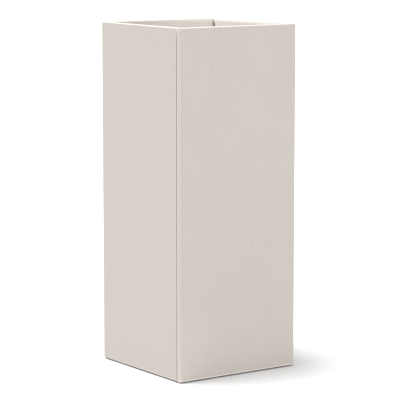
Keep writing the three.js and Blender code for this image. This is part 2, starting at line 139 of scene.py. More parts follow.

# Gelcoat: the front half is mottled and gets a painted highlight at its foot, the rear half nearly
# even, with little of either
COAT_MOTTLE = 0.050  # share of the tone
FINE_MOTTLE = 0.85  # share of the mottle, the rest is broad
COAT_WAVES = 0.45 * MM
COAT_PEEL = 0.12 * MM
STRAND_RELIEF = 3.0  # times the peel
FRONT_UNEVENNESS_AND_HIGHLIGHT = 1.0
REAR_UNEVENNESS_AND_HIGHLIGHT = 0.2
FRONT_LIP_PAINTED_LIGHT = (1.0, 1.0)  # painted light and shade on the inner coat, at the left and right ends
REAR_LIP_PAINTED_LIGHT = (1.10, 0.93)
FRONT_FOOT_PAINTED_LIGHT = 1.075  # painted light: the coat's tone at the foot, lighter than higher up
REAR_FOOT_PAINTED_LIGHT = 1.0
FOOT_PAINTED_LIGHT_HEIGHT = 220 * MM
OVERSPRAY = 0.45  # gelcoat mist on the bare laminate under the lip
OVERSPRAY_REACH = 10 * MM

# Rim and mouth
OUTER_EDGE_DROP = (2.6 * MM, 1.8 * MM)  # the painted highlight on the rim's outer rounding, below the rim
OUTER_EDGE_DEPTH = (2.4 * MM, 3.2 * MM)  # and in from the outside face
EDGE_PAINTED_HIGHLIGHT = 0.62
MOUTH_PAINTED_LIGHT_TOP = 2 * MM  # below the rim: the mouth's lightest painted light
MOUTH_EDGE = (1.6 * MM, 0.4 * MM)  # before the lip's inner face
MOUTH_ROLL = 10 * MM  # height over which the mouth's edge rolls over
MOUTH_SOFTNESS = 2.8
MOUTH_SKIN = 1.2 * MM  # from the lip's inner face
RIM_SKIN = (0.6 * MM, 0.1 * MM)  # the rim's flat top, below the rim
# painted shade on the rim's flat top, deeper on the rear half
RIM_PAINTED_SHADE = 0.10
REAR_RIM_PAINTED_SHADE = 0.26
MITRE_FADE = 40 * MM

# Corner grooves and the walls' foot, with their painted shade and painted highlights
GROOVE_MARGIN = 0.3 * MM  # past the groove's sides
GROOVE_MOUTH = 0.7 * MM  # depth at which the painted shade starts
GROOVE_FLOOR = 1.5 * MM  # past the wall
FAR_EDGE = (0.9 * MM, 0.1 * MM)  # before and past the groove's far side
FAR_EDGE_DEPTH = 0.12 * MM
GROOVE_FADE = (34 * MM, 8 * MM)  # below the rim: full painted shade, and none
EASED_STRIP = (0.2 * MM, 2.6 * MM)  # the painted highlight's strip, before and past the groove's near side
EASED_DEPTH = 0.9 * MM
EASED_PAINTED_HIGHLIGHT = 0.55
FOOT_PAINTED_SHADE_TOP = 1.3 * MM  # height above the walls' foot: the painted shade's top
FOOT_STRIP = 4.2 * MM  # and the top of the painted highlight over it
FOOT_PAINTED_HIGHLIGHT = 0.6
SKIN_DEPTH = 2 * MM  # in from the outside face
MASK_MARGIN = 0.5 * MM  # how far the bare laminate's mask runs past its borders
LIP_MARGIN = 0.8 * MM  # the same at the back of the lip

# Fillers where the corner grooves cross the rim
FILL_SINK = 0.3 * MM
FILL_DROP = 9 * MM
FILL_CLEARANCE = 0.1 * MM  # to the joint flange
FILL_SIDE_CLEARANCE = 0.05 * MM

# Putty beads; their places are the distances from the edge they seal and the face they cling to
SEAL_BEAD_RADIUS = 2.0 * MM
SEAL_BEAD_PLACE = (0.6 * MM, 1.6 * MM)
BOND_BEAD_RADIUS = 1.7 * MM
BOND_BEAD_PLACE = (0.6 * MM, 1.4 * MM)
BOND_BEAD_SPAN = (22 * MM, HEIGHT - 9 * MM)  # heights
LEDGE_BEAD_RADIUS = 1.4 * MM
LEDGE_BEAD_PLACE = (0.2 * MM, 1.2 * MM)
LEDGE_BEAD_REACH = 145 * MM  # front and rear, to both sides of the middle
LEDGE_BEAD_END = 4 * MM  # left and right, from the ledge's ends
BEAD_STEP = 4 * MM
BEAD_SIDES = 10
BEAD_LUMPS = 60  # per metre


# ---------------------------------------------------------------- node trees


class Finish:
    """One material's node tree, with short calls for the nodes that the finishes share."""

    def __init__(self, name):
        self.material = bpy.data.materials.new(name)
        self.material.use_nodes = True
        self.tree = self.material.node_tree
        self.shader = self.tree.nodes["Principled BSDF"]
        self.place = self.add("ShaderNodeTexCoord").outputs["Object"]

    def add(self, kind, **settings):
        node = self.tree.nodes.new(kind)
        for key, value in settings.items():
            setattr(node, key, value)
        return node

    def put(self, socket, value):
        """Links an output to the socket, or sets a plain value on it."""
        if isinstance(value, bpy.types.NodeSocket):
            self.tree.links.new(value, socket)
        elif isinstance(value, tuple) and len(value) == 3 and socket.type == "RGBA":
            socket.default_value = (*value, 1)
        else:
            socket.default_value = value

    def math(self, operation, first, second=0.0):
        node = self.add("ShaderNodeMath", operation=operation)
        self.put(node.inputs[0], first)
        self.put(node.inputs[1], second)
        return node.outputs[0]

    def product(self, *values):
        result = values[0]
        for value in values[1:]:
            result = self.math("MULTIPLY", result, value)
        return result

    def between(self, value, low, high):
        """1 where the value lies between two limits, 0 elsewhere."""
        above = self.math("GREATER_THAN", value, low)
        below = self.math("LESS_THAN", value, high)
        return self.product(above, below)

    def stretched(self, scale, turn=(0, 0, 0)):
        """The object's coordinates, many times finer along some axes, turned."""
        node = self.add("ShaderNodeMapping", vector_type="TEXTURE")
        self.put(node.inputs["Vector"], self.place)
        node.inputs["Rotation"].default_value = turn
        node.inputs["Scale"].default_value = [1 / factor for factor in scale]
        return node.outputs[0]

    def noise(self, scale, detail=2, roughness=0.5, vector=None):
        """Fractal noise of a scale per metre, from about 0.2 to 0.8."""
        node = self.add("ShaderNodeTexNoise")
        self.put(node.inputs["Vector"], vector or self.place)
        node.inputs["Scale"].default_value = scale
        node.inputs["Detail"].default_value = detail
        node.inputs["Roughness"].default_value = roughness
        return node.outputs["Fac"]

    def cells(self, scale):
        """Distance to the nearest of many scattered points."""
        node = self.add("ShaderNodeTexVoronoi")
        self.put(node.inputs["Vector"], self.place)
        node.inputs["Scale"].default_value = scale
        return node.outputs["Distance"]

    def spread(self, value, low, high, to_low=0.0, to_high=1.0):
        """The value's range from low to high, spread over another range and held at its ends."""
        node = self.add("ShaderNodeMapRange")
        for socket, given in zip(node.inputs[:5], (value, low, high, to_low, to_high)):
            self.put(socket, given)
        return node.outputs[0]

    def blend(self, factor, first, second):
        """A mix of two colours."""
        node = self.add("ShaderNodeMix", data_type="RGBA")
        self.put(node.inputs[0], factor)
        self.put(node.inputs[6], first)
        self.put(node.inputs[7], second)
        return node.outputs[2]

    def blend_values(self, factor, first, second):
        node = self.add("ShaderNodeMix", data_type="FLOAT")
        self.put(node.inputs[0], factor)
        self.put(node.inputs[2], first)
        self.put(node.inputs[3], second)
        return node.outputs[0]

    def scaled(self, colour, factor):
        node = self.add("ShaderNodeVectorMath", operation="SCALE")
        self.put(node.inputs[0], colour)
        self.put(node.inputs["Scale"], factor)
        return node.outputs[0]

    def bump(self, height, distance, strength=1.0, below=None):
        """A relief of the height times the distance, on top of the one below."""
        node = self.add("ShaderNodeBump")
        node.inputs["Strength"].default_value = strength
        node.inputs["Distance"].default_value = distance
        self.put(node.inputs["Height"], height)
        if below:
            self.put(node.inputs["Normal"], below)
        return node.outputs[0]

    def wear(self, **sockets):
        """Puts values or outputs on the shader's sockets, and returns the finished material."""
        for name, value in sockets.items():
            self.put(self.shader.inputs[name.replace("_", " ")], value)
        return self.material


def shades(tone, dark, light):
    """A darker and a lighter version of a colour."""
    return tuple(c * dark for c in tone), tuple(c * light for c in tone)


def strand_field(finish):
    """Chopped glass strands lying in all directions, 1 on a strand and 0 between."""
    turns = (
        (0.2, 0.1, 0.3),
        (0.9, 0.5, 1.2),
        (1.7, -0.3, 2.3),
        (-0.5, 1.3, 0.1),
        (2.4, 0.9, -0.8),
        (1.1, -1.2, 0.6),
    )
    field = None
    for turn in turns:
        lying = finish.stretched((26, 640, 640), turn)
        streak = finish.noise(1.0, detail=1, roughness=0.4, vector=lying)
        ridge = finish.spread(streak, 0.56, 0.70)
        field = ridge if field is None else finish.math("MAXIMUM", field, ridge)
    return field


def raw_colour(finish, strands):
    """Unfinished laminate: amber-grey resin over pale strands, with thin and thick places."""
    thick = finish.spread(finish.noise(14, detail=3, roughness=0.6), 0.35, 0.65)
    resin = finish.blend(thick, *shades(RAW_RESIN, 0.86, 1.08))
    return finish.blend(finish.product(strands, 0.75), resin, STRANDS)


def groove_masks(finish, x, y, z, depth):
    """Where the corner grooves' inner faces get painted shade, and the eased edges beside the
    grooves a painted highlight.
    """
    along = finish.math("ABSOLUTE", y)
    across = finish.math("GREATER_THAN", finish.math("ABSOLUTE", x), HALF_WIDTH - 2 * WALL)
    opposite = finish.math("GREATER_THAN", finish.product(x, y), 0.0)
    at_joint = finish.product(across, opposite)
    start, end = HALF_WIDTH - GROOVE_FAR, HALF_WIDTH - GROOVE_NEAR

    width = finish.between(along, start - GROOVE_MARGIN, end + GROOVE_MARGIN)
    sides = finish.between(depth, GROOVE_MOUTH, WALL + GROOVE_FLOOR)
    far_edge = finish.between(along, start - FAR_EDGE[0], start + FAR_EDGE[1])
    rounded = finish.math("GREATER_THAN", depth, FAR_EDGE_DEPTH)
    painted_shade = finish.math("MAXIMUM", finish.product(width, sides), finish.product(far_edge, rounded))
    below_fill = finish.spread(z, HEIGHT - GROOVE_FADE[0], HEIGHT - GROOVE_FADE[1], 1.0, 0.0)
    inside = finish.product(painted_shade, at_joint, below_fill)

    strip = finish.between(along, end - EASED_STRIP[0], end + EASED_STRIP[1])
    skin = finish.math("LESS_THAN", depth, EASED_DEPTH)
    eased = finish.product(strip, skin, at_joint)
    return inside, eased


def raw_mask(finish, z, depth):
    """The bare laminate: inside the walls below the lip, and in the channel behind the lip."""
    behind_skin = finish.math("GREATER_THAN", depth, WALL - MASK_MARGIN)
    below_lip = finish.math("LESS_THAN", z, LIP_FOOT + MASK_MARGIN)
    before_lip = finish.math("LESS_THAN", depth, RIM_WIDTH - LIP + LIP_MARGIN)
    under_rim = finish.math("LESS_THAN", z, HEIGHT - WALL + MASK_MARGIN)
    hidden = finish.math("MAXIMUM", below_lip, finish.product(before_lip, under_rim))
    return finish.product(behind_skin, hidden)


def shell_coat(finish, x, y, z, depth, eased, unevenness_and_highlight, lip_painted_light, foot_painted_light):
    """The gelcoat's colour.

    It is mottled outside. Painted light makes it lighter in the mouth, along the lip and at the
    foot. Painted highlights lie on eased edges and the rim's outer rounding, and painted shade
    darkens the rim's top.
    """
    fine = finish.product(finish.noise(150, detail=2, roughness=0.6), FINE_MOTTLE)
    broad = finish.product(finish.noise(9, detail=3), 1 - FINE_MOTTLE)
    mottle = finish.spread(finish.math("ADD", fine, broad), 0.36, 0.64)
    contrast = COAT_MOTTLE * unevenness_and_highlight
    outer_coat = finish.blend(mottle, *shades(GELCOAT, 1 - contrast, 1 + contrast))
    # Painted light: the outer coat grows lighter towards the foot.
    outer_coat = finish.scaled(outer_coat, finish.spread(z, 0.0, FOOT_PAINTED_LIGHT_HEIGHT, foot_painted_light, 1.0))
    # Painted light: a lighter copy of the gelcoat, for the mouth and the painted highlights.
    painted_light_coat = finish.blend(mottle, *shades(INNER_COAT_PAINTED_LIGHT, 0.975, 1.025))
    # Painted light: the lip's inner face grows lighter towards the rim.
    near_mouth = finish.spread(z, HEIGHT - MOUTH_ROLL, HEIGHT - MOUTH_PAINTED_LIGHT_TOP)
    painted_light_coat = finish.blend(near_mouth, painted_light_coat, MOUTH_PAINTED_LIGHT)
    # Painted light and shade along the lip, from its left end to its right end.
    painted_light_coat = finish.scaled(painted_light_coat, finish.spread(x, -HALF_WIDTH, HALF_WIDTH, *lip_painted_light))

    past_mouth = finish.spread(depth, RIM_WIDTH - MOUTH_EDGE[0], RIM_WIDTH - MOUTH_EDGE[1])
    # Painted highlight on the rim's outer rounding.
    edge_height = finish.spread(
        z, HEIGHT - OUTER_EDGE_DROP[0], HEIGHT - OUTER_EDGE_DROP[1], 0.0, EDGE_PAINTED_HIGHLIGHT
    )
    edge_depth = finish.spread(depth, *OUTER_EDGE_DEPTH, 1.0, 0.0)
    edge_highlight = finish.product(edge_height, edge_depth)
    coat = finish.blend(finish.math("MAXIMUM", past_mouth, edge_highlight), outer_coat, painted_light_coat)

    # Painted shade on the rim's flat top.
    rim_top = finish.spread(z, HEIGHT - RIM_SKIN[0], HEIGHT - RIM_SKIN[1])
    past_mitre = finish.math("SUBTRACT", y, finish.math("ABSOLUTE", x))
    rim_shade = finish.spread(past_mitre, -MITRE_FADE, MITRE_FADE, RIM_PAINTED_SHADE, REAR_RIM_PAINTED_SHADE)
    coat = finish.blend(finish.product(rim_top, rim_shade), coat, (0, 0, 0))
    # Painted highlight on the eased edges beside the grooves.
    coat = finish.blend(finish.product(eased, EASED_PAINTED_HIGHLIGHT), coat, painted_light_coat)

    # Painted highlight in a strip just over the walls' foot.
    foot_strip = finish.between(z, WALL_FOOT + FOOT_PAINTED_SHADE_TOP, WALL_FOOT + FOOT_STRIP)
    at_skin = finish.math("LESS_THAN", depth, SKIN_DEPTH)
    foot_highlight = finish.product(foot_strip, FOOT_PAINTED_HIGHLIGHT * unevenness_and_highlight, at_skin)
    return finish.blend(foot_highlight, coat, painted_light_coat)


def rolled_mouth(finish, z, depth):
    """A bump that rolls the lip's inner face over towards the rim, as a parabola."""
    past_edge = finish.math("MAXIMUM", finish.math("SUBTRACT", z, HEIGHT - MOUTH_ROLL), 0.0)
    curve = -2 * MOUTH_ROLL * MOUTH_SOFTNESS
    fall = finish.math("DIVIDE", finish.product(past_edge, past_edge), curve)
    inside = finish.math("GREATER_THAN", depth, RIM_WIDTH - MOUTH_SKIN)
    return finish.bump(finish.product(fall, inside), distance=1.0)


def gelcoat_and_laminate(name, unevenness_and_highlight, lip_painted_light, foot_painted_light):
    """Matt gelcoat outside; bare glass-mat laminate inside the walls and behind the lip."""
    finish = Finish(name)
    split = finish.add("ShaderNodeSeparateXYZ")
    finish.put(split.inputs[0], finish.place)
    x, y, z = split.outputs
    from_left_right = finish.math("SUBTRACT", HALF_WIDTH, finish.math("ABSOLUTE", x))
    from_front_rear = finish.math("SUBTRACT", HALF_WIDTH, finish.math("ABSOLUTE", y))
    depth = finish.math("MINIMUM", from_left_right, from_front_rear)

    raw = raw_mask(finish, z, depth)
    groove_painted_shade, eased = groove_masks(finish, x, y, z, depth)
    # Painted shade in the grooves and in a thin band at the walls' foot.
    low_edge = finish.math("LESS_THAN", z, WALL_FOOT + FOOT_PAINTED_SHADE_TOP)
    at_skin = finish.math("LESS_THAN", depth, SKIN_DEPTH)
    painted_shade = finish.math("MAXIMUM", groove_painted_shade, finish.product(low_edge, at_skin))

    coat = shell_coat(finish, x, y, z, depth, eased, unevenness_and_highlight, lip_painted_light, foot_painted_light)
    strands = strand_field(finish)
    mist_low, mist_high = LIP_FOOT - OVERSPRAY_REACH, LIP_FOOT + OVERSPRAY_REACH
    overspray = finish.spread(z, mist_low, mist_high, 0.0, OVERSPRAY)
    # The mist takes the inner coat's tone, painted light included.
    bare = finish.blend(overspray, raw_colour(finish, strands), INNER_COAT_PAINTED_LIGHT)
    colour = finish.blend(painted_shade, finish.blend(raw, coat, bare), PAINTED_SHADE_TONE)

    sheen = finish.noise(240, detail=2, roughness=0.6)
    coat_roughness = finish.spread(sheen, 0.3, 0.7, 0.56, 0.70)
    raw_roughness = finish.spread(strands, 0, 1, 0.42, 0.60)
    peel = finish.noise(430, detail=3, roughness=0.62)
    relief = finish.blend_values(raw, peel, finish.product(strands, STRAND_RELIEF))
    waves = finish.noise(150, detail=1, roughness=0.4)
    rolled = rolled_mouth(finish, z, depth)
    wavy = finish.bump(waves, COAT_WAVES * unevenness_and_highlight, below=rolled)
    return finish.wear(
        Base_Color=colour,
        Roughness=finish.blend_values(raw, coat_roughness, raw_roughness),
        Normal=finish.bump(relief, COAT_PEEL, below=wavy),
        Specular_IOR_Level=0.35,
    )


def bare_laminate():
    """Glass-mat laminate as it leaves the mould's open side."""
    finish = Finish("bare_laminate")
    strands = strand_field(finish)
    resin_flow = finish.bump(finish.noise(30), 0.8 * MM, strength=0.5)
    return finish.wear(
        Base_Color=raw_colour(finish, strands),
        Roughness=finish.spread(strands, 0, 1, 0.40, 0.62),
        Normal=finish.bump(strands, 0.3 * MM, below=resin_flow),
    )


def putty():
    """Filled polyester adhesive, dull, with small pits."""
    finish = Finish("bonding_putty")
    cloud = finish.spread(finish.noise(60, detail=4, roughness=0.6), 0.3, 0.7)
    pits = finish.spread(finish.cells(900), 0.0, 0.35)
    lumps = finish.bump(finish.noise(180, detail=3, roughness=0.6), 0.5 * MM, strength=0.8)
    return finish.wear(
        Base_Color=finish.blend(cloud, *shades(PUTTY, 0.88, 1.1)),
        Roughness=finish.spread(cloud, 0, 1, 0.6, 0.78),
        Normal=finish.bump(pits, 0.12 * MM, below=lumps),
    )


def rubber():
    """Black moulded rubber, greyer and duller where it blooms."""
    finish = Finish("moulded_rubber")
    bloom = finish.spread(finish.noise(90, detail=4, roughness=0.65), 0.35, 0.75)
    grain = finish.noise(2600, detail=2, roughness=0.6)
    return finish.wear(
        Base_Color=finish.blend(bloom, *shades(RUBBER_TONE, 0.8, 2.1)),
        Roughness=finish.spread(bloom, 0, 1, 0.62, 0.85),
        Normal=finish.bump(grain, 0.05 * MM),
        Specular_IOR_Level=0.4,
    )


def zinc_steel():
    """Bright zinc plating with a faint bluish and yellowish cast and fine rolling marks."""
    finish = Finish("zinc_plated_steel")
    cast = finish.spread(finish.noise(120, detail=3, roughness=0.6), 0.35, 0.65)
    rolled = finish.stretched((300, 300, 5200))
    marks = finish.noise(1.0, detail=2, roughness=0.6, vector=rolled)
    return finish.wear(
        Base_Color=finish.blend(cast, ZINC, YELLOWED_ZINC),
        Metallic=1.0,
        Roughness=finish.spread(marks, 0.3, 0.7, 0.26, 0.44),
        Normal=finish.bump(marks, 0.02 * MM, strength=0.6),
    )


def shelf_plastic():
    """Recycled dark plastic with a spark-eroded grain, duller where it is scuffed."""
    finish = Finish("shelf_plastic")
    flow = finish.spread(finish.noise(7, detail=4, roughness=0.6), 0.3, 0.7)
    dragged = finish.stretched((18, 240, 240), (0, 0, 0.5))
    scuffs = finish.spread(finish.noise(1.0, detail=3, roughness=0.6, vector=dragged), 0.60, 0.72)
    grain = finish.noise(1500, detail=2, roughness=0.55)
    toned = finish.blend(flow, *shades(SHELF_TONE, 0.9, 1.12))
    return finish.wear(
        Base_Color=finish.blend(finish.product(scuffs, 0.35), toned, SCUFF_TONE),
        Roughness=finish.spread(scuffs, 0, 1, 0.46, 0.62),
        Normal=finish.bump(grain, 0.06 * MM),
    )


def floor_finish():
    """Even matt white ground."""
    finish = Finish("studio_floor")
    tone = finish.spread(finish.noise(3), 0.3, 0.7, FLOOR_TONE, FLOOR_TONE + 0.005)
    grey = finish.add("ShaderNodeCombineColor")
    for socket in grey.inputs[:3]:
        finish.put(socket, tone)
    return finish.wear(Base_Color=grey.outputs[0], Roughness=0.95, Specular_IOR_Level=0.0)


# ---------------------------------------------------------------- meshes


def arc_outline(corners, steps=6):
    """Points of a closed outline through corners (a, b, radius), each rounded to its radius."""
    points = []
    for i, (a, b, radius) in enumerate(corners):
        corner = Vector((a, b))
        back = (Vector(corners[i - 1][:2]) - corner).normalized()
        ahead = (Vector(corners[(i + 1) % len(corners)][:2]) - corner).normalized()
        if radius <= 0:
            points.append(corner)
            continue
        half = math.acos(max(-1.0, min(1.0, back.dot(ahead)))) / 2
        centre = corner + (back + ahead).normalized() * (radius / math.sin(half))
        start = corner + back * (radius / math.tan(half)) - centre
        swing = math.pi - 2 * half
        if back.cross(ahead) > 0:
            swing = -swing
        for k in range(steps + 1):
            points.append(centre + Matrix.Rotation(swing * k / steps, 2) @ start)
    return points


def finished_object(name, mesh, material, smooth_angle=35):
    """An object of the mesh with its finish, smooth but for edges past the angle."""
    mesh.shade_smooth()
    mesh.set_sharp_from_angle(angle=math.radians(smooth_angle))
    mesh.materials.append(material)
    made = bpy.data.objects.new(name, mesh)
    bpy.context.scene.collection.objects.link(made)
    return made


def bridge(work, here, there):
    """Faces between two rings of vertices."""
    for k in range(len(here)):
        n = (k + 1) % len(here)
        work.faces.new((here[k], here[n], there[n], there[k]))


def mesh_of(name, work):
    """The faces of a bmesh, turned outwards, as a mesh."""
    bmesh.ops.recalc_face_normals(work, faces=work.faces)
    mesh = bpy.data.meshes.new(name)
    work.to_mesh(mesh)
    work.free()
    return mesh


def ringed_mesh(name, rings, closed):
    """A surface over rings of points of equal count.

    It closes on itself, or else rings that shrink to a point shut its ends.
    """
    work = bmesh.new()
    made = [[work.verts.new(p) for p in ring] for ring in rings]
    for i in range(len(rings) if closed else len(rings) - 1):
        bridge(work, made[i], made[(i + 1) % len(rings)])
    bmesh.ops.remove_doubles(work, verts=work.verts, dist=0.002 * MM)
    return mesh_of(name, work)


def circle(radius, z, centre, steps=ROUND_STEPS):
    """A ring of points; the radius and the height may be functions of the angle."""
    ring = []
    for k in range(steps):
        angle = 2 * math.pi * k / steps
        reach = radius(angle) if callable(radius) else radius
        level = z(angle) if callable(z) else z
        ring.append((centre.x + reach * math.cos(angle), centre.y + reach * math.sin(angle), level))
    return ring


def turned_mesh(name, outline, centre, steps=ROUND_STEPS):
    """A solid of revolution from a closed outline of (radius, height) points."""
    rings = [circle(r, z, centre, steps) for r, z in outline]
    return ringed_mesh(name, rings, True)


def tube_mesh(name, path, radius, wobble, seed, closed=False):
    """A bead along a path of points, its thickness wandering by a share of the radius.

    An open bead tapers off at its two ends.
    """
    rings = []
    count = len(path)
    for i, point in enumerate(path):
        after = path[(i + 1) % count] if closed else path[min(i + 1, count - 1)]
        before = path[i - 1] if closed else path[max(i - 1, 0)]
        along = (after - before).normalized()
        across = along.cross(Vector((0, 0, 1)))
        if across.length < 0.1:
            across = along.cross(Vector((1, 0, 0)))
        across.normalize()
        up = across.cross(along)
        swell = 1 + wobble * noise.noise(point * BEAD_LUMPS + Vector((seed, 0, 0)))
        fade = 1.0 if closed else min(1.0, (min(i, count - 1 - i) + 0.02) / 2)
        reach = radius * swell * math.sqrt(fade)
        ring = []
        for k in range(BEAD_SIDES):
            angle = 2 * math.pi * k / BEAD_SIDES
            ring.append(point + (across * math.cos(angle) + up * math.sin(angle)) * reach)
        rings.append(ring)
    if not closed:
        rings.insert(0, [path[0]] * BEAD_SIDES)
        rings.append([path[-1]] * BEAD_SIDES)
    return ringed_mesh(name, rings, closed)


def straight_path(start, end):
    """Points from start to end, close enough together for a bead."""
    count = max(2, round((end - start).length / BEAD_STEP))
    return [start.lerp(end, i / count) for i in range(count + 1)]


# ---------------------------------------------------------------- small parts


def hex_radius(angle):
    """Distance from the axis to a hexagon's side, in a direction."""
    sixth = math.pi / 3
    return HEX_FLATS / 2 / math.cos((angle + sixth / 2) % sixth - sixth / 2)


def hex_rings(bottom, top, centre):
    """Rings of a hexagonal prism whose corners are chamfered at both ends."""
    land = HEX_FLATS / 2 * CHAMFER_LAND

    def drop(angle):
        return (hex_radius(angle) - land) * math.tan(CHAMFER_ANGLE)

    return [
        circle(land, bottom, centre),
        circle(hex_radius, lambda angle: bottom + drop(angle), centre),
        circle(hex_radius, lambda angle: top - drop(angle), centre),
        circle(land, top, centre),
    ]


def thread_tooth(turn):
    """Height of a 60 degree thread over one pitch, with a flat crest and root, from 0 to 1."""
    peak = 1 - abs(2 * turn - 1)
    return min(1.0, max(0.0, 1.35 * peak - 0.12))


def thread_rings(bottom, top, centre, radius):
    """Rings of a threaded rod whose thread runs out at its upper end."""
    levels = round((top - bottom) / (THREAD_PITCH / THREAD_STEPS))
    rings = []
    for i in range(levels + 1):
        z = bottom + (top - bottom) * i / levels
        run_out = min(1.0, (top - z) / THREAD_PITCH + 0.15)

        def reach(angle, z=z, run_out=run_out):
            turn = (z / THREAD_PITCH - angle / (2 * math.pi)) % 1.0
            return radius - THREAD_DEPTH + THREAD_DEPTH * thread_tooth(turn) * run_out

        rings.append(circle(reach, z, centre))
    return rings


def foot_bolt(place, material):
    """Hexagonal bolt, head down, with a dished head and a thread above the base flange."""
    node = f"foot_bolt_{place}"
    low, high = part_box(node)
    centre = (low + high) / 2
    head_top = low.z + BOLT_HEAD_HEIGHT
    dish_top = low.z + HEAD_DISH
    rings = [
        [(centre.x, centre.y, dish_top)] * ROUND_STEPS,
        circle(BOLT_RADIUS, dish_top, centre),
        circle(BOLT_RADIUS + HEAD_DISH, low.z, centre),
        *hex_rings(low.z, head_top, centre),
        circle(BOLT_RADIUS, head_top, centre),
        circle(BOLT_RADIUS, FLANGE_TOP, centre),
        *thread_rings(FLANGE_TOP + 0.2 * MM, high.z, centre, BOLT_RADIUS),
        [(centre.x, centre.y, high.z)] * ROUND_STEPS,
    ]
    mesh = ringed_mesh(f"{node}_detailed", rings, False)
    made = finished_object(f"{node}_detailed", mesh, material, 28)
    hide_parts(node)
    return made


def foot_nut(place, material):
    """Hexagonal nut with a countersunk bore."""
    node = f"foot_nut_{place}"
    low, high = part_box(node)
    centre = (low + high) / 2
    bore = BOLT_RADIUS + NUT_CLEARANCE
    rings = [
        circle(bore, low.z + COUNTERSINK, centre),
        circle(bore + COUNTERSINK, low.z, centre),
        *hex_rings(low.z, high.z, centre),
        circle(bore + COUNTERSINK, high.z, centre),
        circle(bore, high.z - COUNTERSINK, centre),
    ]
    mesh = ringed_mesh(f"{node}_detailed", rings, True)
    made = finished_object(f"{node}_detailed", mesh, material, 28)
    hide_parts(node)
    return made


def foot_washer(place, material):
    """Punched washer, rounder at its upper rim than at its lower one."""
    node = f"foot_washer_{place}"
    low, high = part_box(node)
    rim = (high.x - low.x) / 2
    bore = BOLT_RADIUS + BOLT_CLEARANCE
    corners = [
        (bore, low.z, WASHER_EASE),
        (rim, low.z, WASHER_EASE / 3),
        (rim, high.z, WASHER_EASE * 2),
        (bore, high.z, WASHER_EASE),
    ]
    centre = (low + high) / 2
    mesh = turned_mesh(f"{node}_detailed", arc_outline(corners), centre, WASHER_STEPS)
    made = finished_object(f"{node}_detailed", mesh, material)
    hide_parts(node)
    return made


def rubber_foot(place, material):
    """Tapered foot with a grooved flank, a grooved sole and a counterbore for the bolt head."""
    node = f"foot_{place}"
    low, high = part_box(node)
    centre = (low + high) / 2
    top_radius = (high.x - low.x) / 2
    sole_radius = top_radius - FOOT_TAPER
    bore = BOLT_RADIUS + BOLT_CLEARANCE
    counterbore = HEX_FLATS / 2 / math.cos(math.pi / 6) + COUNTERBORE_CLEARANCE
    seat = low.z + BOLT_HEAD_SETBACK + BOLT_HEAD_HEIGHT + SEAT_GAP
    corners = [(bore, seat, 0), (counterbore, seat, 0.4 * MM), (counterbore, low.z, 0.5 * MM)]
    groove_top = low.z + 0.7 * MM
    for k in range(SOLE_GROOVES):
        inner = counterbore + 2 * MM + k * SOLE_GROOVE_STEP
        corners += [
            (inner, low.z, 0.2 * MM),
            (inner + 0.3 * MM, groove_top, 0.2 * MM),
            (inner + 1.1 * MM, groove_top, 0.2 * MM),
            (inner + 1.4 * MM, low.z, 0.2 * MM),
        ]
    corners.append((sole_radius, low.z, 1 * MM))
    slope = (top_radius - sole_radius) / (high.z - low.z)
    for k in range(FLANK_GROOVES):
        z = low.z + 2 * MM + k * FLANK_GROOVE_STEP
        reach = sole_radius + slope * (z - low.z)
        corners += [
            (reach, z, 0.12 * MM),
            (reach - 0.45 * MM, z + 0.3 * MM, 0.15 * MM),
            (reach + slope * 0.6 * MM, z + 0.6 * MM, 0.12 * MM),
        ]
    corners += [(top_radius, high.z, 0.6 * MM), (bore, high.z, 0)]
    mesh = turned_mesh(f"{node}_detailed", arc_outline(corners, 4), centre)
    made = finished_object(f"{node}_detailed", mesh, material)
    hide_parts(node)
    return made


def drain_plug(material):
    """Rubber bung with sealing ribs on its stem, a dished head and a waisted pull."""
    low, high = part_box("drain_plug")
    centre = (low + high) / 2
    head_radius = (high.x - low.x) / 2
    seat = PLATE_HIGH.z + SEAT_GAP
    head_top = seat + PLUG_HEAD_HEIGHT
    dish = head_top - 0.9 * MM
    stem = DRAIN_RADIUS - PLUG_CLEARANCE
    tip = stem - PLUG_TAPER
    grip = PLUG_GRIP_RADIUS
    corners = [(0, low.z, 0), (tip, low.z, 1 * MM)]
    for k in range(PLUG_RIBS):
        z = low.z + 3.2 * MM + k * RIB_STEP
        reach = tip + (stem - tip) * (k + 1) / PLUG_RIBS
        corners += [
            (reach - RIB_DEPTH, z - RIB_DEPTH, 0.3 * MM),
            (reach, z, 0.3 * MM),
            (reach - RIB_DEPTH, z + RIB_DEPTH, 0.3 * MM),
        ]
    corners += [
        (stem - RIB_DEPTH, seat, 0.4 * MM),
        (head_radius, seat, 0.5 * MM),
        (head_radius, head_top, 1.2 * MM),
        (head_radius - 3 * MM, head_top, 0.6 * MM),
        (head_radius - 4.2 * MM, dish, 1 * MM),
        (grip + 2.0 * MM, dish, 1 * MM),
        (grip - 1.6 * MM, head_top + 2.2 * MM, 2 * MM),
        (grip - 1.8 * MM, high.z - 4.6 * MM, 1.5 * MM),
        (grip, high.z - 3.4 * MM, 0.8 * MM),
        (grip, high.z, 1.4 * MM),
        (0, high.z, 0),
    ]
    mesh = turned_mesh("drain_plug_detailed", arc_outline(corners), centre)
    made = finished_object("drain_plug_detailed", mesh, material)
    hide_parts("drain_plug")
    return made


# ---------------------------------------------------------------- beads of putty


def level_loop(half, radius, z):
    """Points of a rounded square about the middle, close enough together for a bead."""
    corners = [
        (-half, -half, radius),
        (half, -half, radius),
        (half, half, radius),
        (-half, half, radius),
    ]
    outline = [Vector((a, b, z)) for a, b in arc_outline(corners, 5)]
    points = []
    for i, start in enumerate(outline):
        end = outline[(i + 1) % len(outline)]
        count = max(1, round((end - start).length / BEAD_STEP))
        points += [start.lerp(end, k / count) for k in range(count)]
    return points


